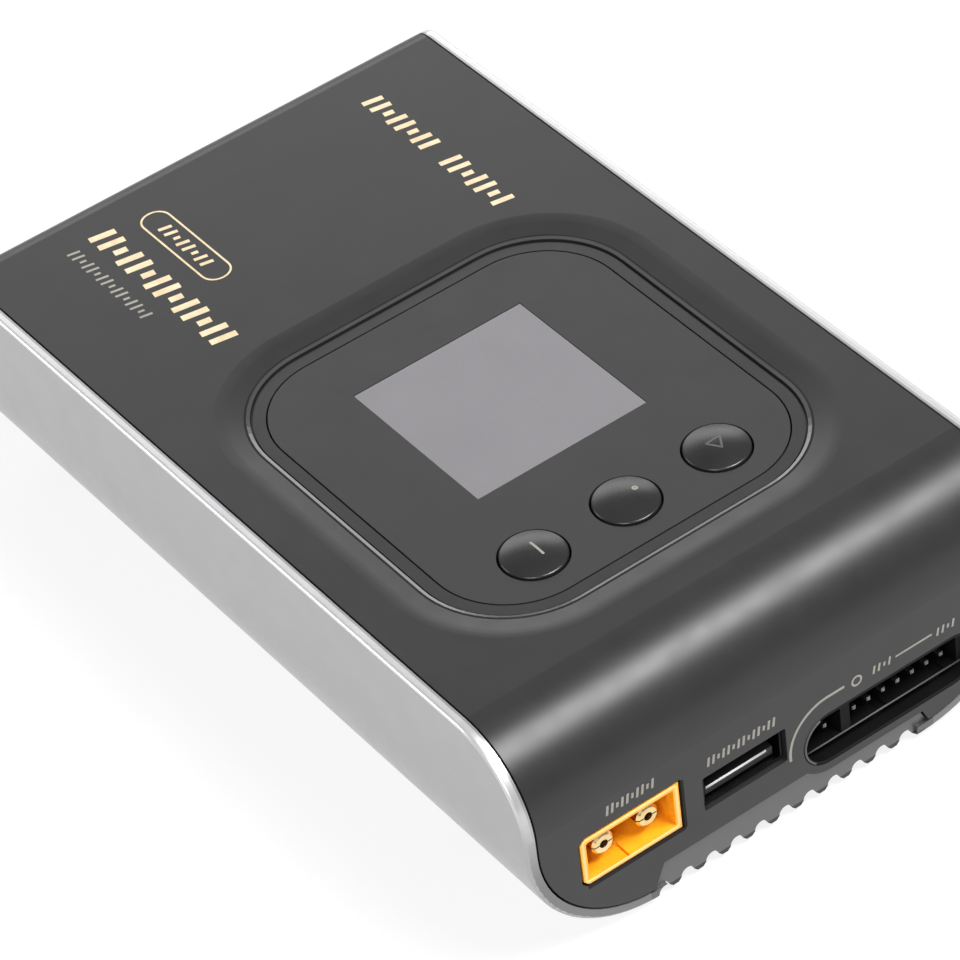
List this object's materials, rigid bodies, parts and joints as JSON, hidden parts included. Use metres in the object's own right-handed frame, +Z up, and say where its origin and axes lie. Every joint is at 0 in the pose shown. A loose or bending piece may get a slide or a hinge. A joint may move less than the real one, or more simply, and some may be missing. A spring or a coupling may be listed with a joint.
{
  "type": "balance battery charger",
  "caption": "Low desktop charger with rounded front, tray and wrap-over cover, sunken display panel with square screen and push buttons, battery output, USB and balance ports, mains inlet, fan",
  "frame": {"origin": "centre of the footprint, on the plane the rubber feet stand on", "axes": "+Z up, -Y towards the port face, +X to the right seen from the port face"},
  "size_m": [0.084, 0.1346, 0.0362],
  "materials": {
    "tray_silver": "satin metallic paint, fine grain",
    "cover_dark": "semi-gloss dark grey, soft-touch grain",
    "screw_steel": "black zinc machine screws",
    "foot_rubber": "matt black rubber",
    "panel_dark": "fine matt texture",
    "tape_black": "double-sided foam tape",
    "screen_grey": "smooth, unlit display window",
    "lcd_glass": "polarised glass",
    "carrier_white": "white moulded",
    "switch_black": "moulded",
    "board_green": "solder mask",
    "socket_cream": "moulded",
    "ribbon_white": "flat flex",
    "insulator_clear": "milky sheet",
    "copper": "bare copper",
    "contact_gold": "gold flash",
    "connector_orange": "smooth nylon",
    "usb_metal": "black nickel",
    "insert_black": "moulded",
    "pin_tin": "tinned",
    "header_black": "moulded nylon",
    "bronze": "sintered bronze",
    "stator_steel": "laminations with copper wire",
    "rotor_black": "moulded",
    "ferrite": "sintered ferrite",
    "winding_tape": "yellow polyester tape",
    "capacitor_sleeve": "shrink sleeve",
    "heatsink_alu": "extruded",
    "chip_black": "epoxy",
    "fuse_ceramic": "ceramic tube with plated caps",
    "button_black": "semi-gloss dome",
    "plunger_black": "moulded"
  },
  "bodies": {
    "case": {"bottom_tray": "tray_silver", "top_cover": "cover_dark", "case_screws": "screw_steel", "rubber_feet": "foot_rubber", "display_panel": "panel_dark", "panel_gasket": "tape_black", "display_lens": "screen_grey", "lcd_module": "lcd_glass", "lcd_carrier": "carrier_white", "tact_switches": "switch_black", "display_pcb": "board_green", "display_screws": "screw_steel", "ribbon_sockets": "socket_cream", "display_ribbon": "ribbon_white", "main_pcb": "board_green", "power_pcb": "board_green", "pcb_screws": "screw_steel", "insulator_sheet": "insulator_clear", "link_bars": "copper", "xt60_contacts": "contact_gold", "xt60_shell": "connector_orange", "usb_shell": "usb_metal", "usb_insert": "insert_black", "usb_contacts": "contact_gold", "balance_pins": "pin_tin", "balance_header": "header_black", "mains_pins": "pin_tin", "mains_inlet": "header_black", "fan_frame": "header_black", "fan_bearing": "bronze", "fan_stator": "stator_steel", "fan_screws": "screw_steel", "transformer_core": "ferrite", "transformer_bobbin": "switch_black", "transformer_winding": "winding_tape", "choke_core": "ferrite", "choke_windings": "copper", "bulk_capacitor": "capacitor_sleeve", "output_capacitors": "capacitor_sleeve", "heatsink": "heatsink_alu", "power_transistors": "chip_black", "fuse": "fuse_ceramic", "bridge_rectifier": "chip_black", "power_inductors": "ferrite", "control_chips": "chip_black", "balance_resistors": "chip_black", "buzzer": "switch_black"},
    "key_left": {"button_left": "button_black", "plunger_left": "plunger_black"},
    "key_middle": {"button_middle": "button_black", "plunger_middle": "plunger_black"},
    "key_right": {"button_right": "button_black", "plunger_right": "plunger_black"},
    "fan": {"fan_rotor": "rotor_black"}
  },
  "joints": [
    {"name": "press_left", "type": "slide", "parent": "case", "child": "key_left", "axis": [0, 0, -1], "range_m": [0, 0.0005], "stiffness_N_per_m": 600},
    {"name": "press_middle", "type": "slide", "parent": "case", "child": "key_middle", "axis": [0, 0, -1], "range_m": [0, 0.0005], "stiffness_N_per_m": 600},
    {"name": "press_right", "type": "slide", "parent": "case", "child": "key_right", "axis": [0, 0, -1], "range_m": [0, 0.0005], "stiffness_N_per_m": 600},
    {"name": "fan_spin", "type": "hinge", "parent": "case", "child": "fan", "pos_m": [0.009, 0.0593, 0.0175], "axis": [0, 1, 0], "continuous": true}
  ]
}
